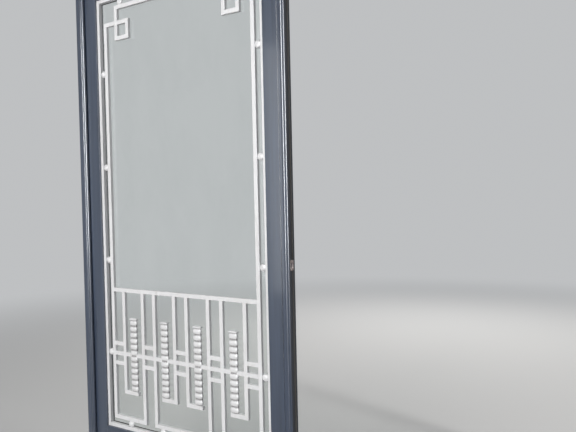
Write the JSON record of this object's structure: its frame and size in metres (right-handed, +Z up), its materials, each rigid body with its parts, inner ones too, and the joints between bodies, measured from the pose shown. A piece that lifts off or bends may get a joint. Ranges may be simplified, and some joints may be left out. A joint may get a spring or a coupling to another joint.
{
  "type": "pair of glazed entrance doors with a metal grille",
  "caption": "Painted pair of glazed entrance doors in a frame, hinged to open inward, each pane behind a geometric metal grille with ribbed columns.",
  "frame": {"origin": "on the wall face of the left jamb, at floor level, half way through the frame's depth", "axes": "+X along the doors from the left jamb to the right jamb, +Y into the building, +Z up"},
  "size_m": [2.105, 1.0638, 2.193],
  "materials": {
    "door_paint": "semi-gloss dark slate blue paint on wood",
    "grille_paint": "silver-white paint on steel bars",
    "pane": "clear polished plate glass",
    "aged_brass": "aged brass, worn bright at the edges",
    "hinge_steel": "dull plated steel",
    "sill_metal": "scuffed bare metal saddle"
  },
  "bodies": {
    "frame": {"left_jamb": "door_paint", "right_jamb": "door_paint", "head": "door_paint", "threshold": "sill_metal", "left_stop": "door_paint", "right_stop": "door_paint", "head_stop": "door_paint", "left_frame_hinges": "hinge_steel", "right_frame_hinges": "hinge_steel"},
    "left_leaf": {"left_hinge_stile": "door_paint", "left_meeting_stile": "door_paint", "left_edge_moulding": "door_paint", "left_top_rail": "door_paint", "left_bottom_rail": "door_paint", "left_glass": "pane", "left_glazing_bead": "door_paint", "left_grille_border": "grille_paint", "left_grille_fret": "grille_paint", "left_grille_lattice": "grille_paint", "left_grille_columns": "grille_paint", "left_grille_spacers": "grille_paint", "left_leaf_hinges": "hinge_steel", "left_strike_plate": "aged_brass"},
    "right_leaf": {"right_hinge_stile": "door_paint", "right_meeting_stile": "door_paint", "right_edge_moulding": "door_paint", "right_top_rail": "door_paint", "right_bottom_rail": "door_paint", "right_glass": "pane", "right_glazing_bead": "door_paint", "right_grille_border": "grille_paint", "right_grille_fret": "grille_paint", "right_grille_lattice": "grille_paint", "right_grille_columns": "grille_paint", "right_grille_spacers": "grille_paint", "right_leaf_hinges": "hinge_steel", "right_lock": "aged_brass", "right_knobs": "aged_brass"}
  },
  "joints": [
    {"name": "left_leaf_swing", "type": "hinge", "parent": "frame", "child": "left_leaf", "pos_m": [0.035, -0.001, 0], "axis": [0, 0, 1], "range_deg": [0, 95]},
    {"name": "right_leaf_swing", "type": "hinge", "parent": "frame", "child": "right_leaf", "pos_m": [2.051, -0.001, 0], "axis": [0, 0, -1], "range_deg": [-90, 5]}
  ]
}
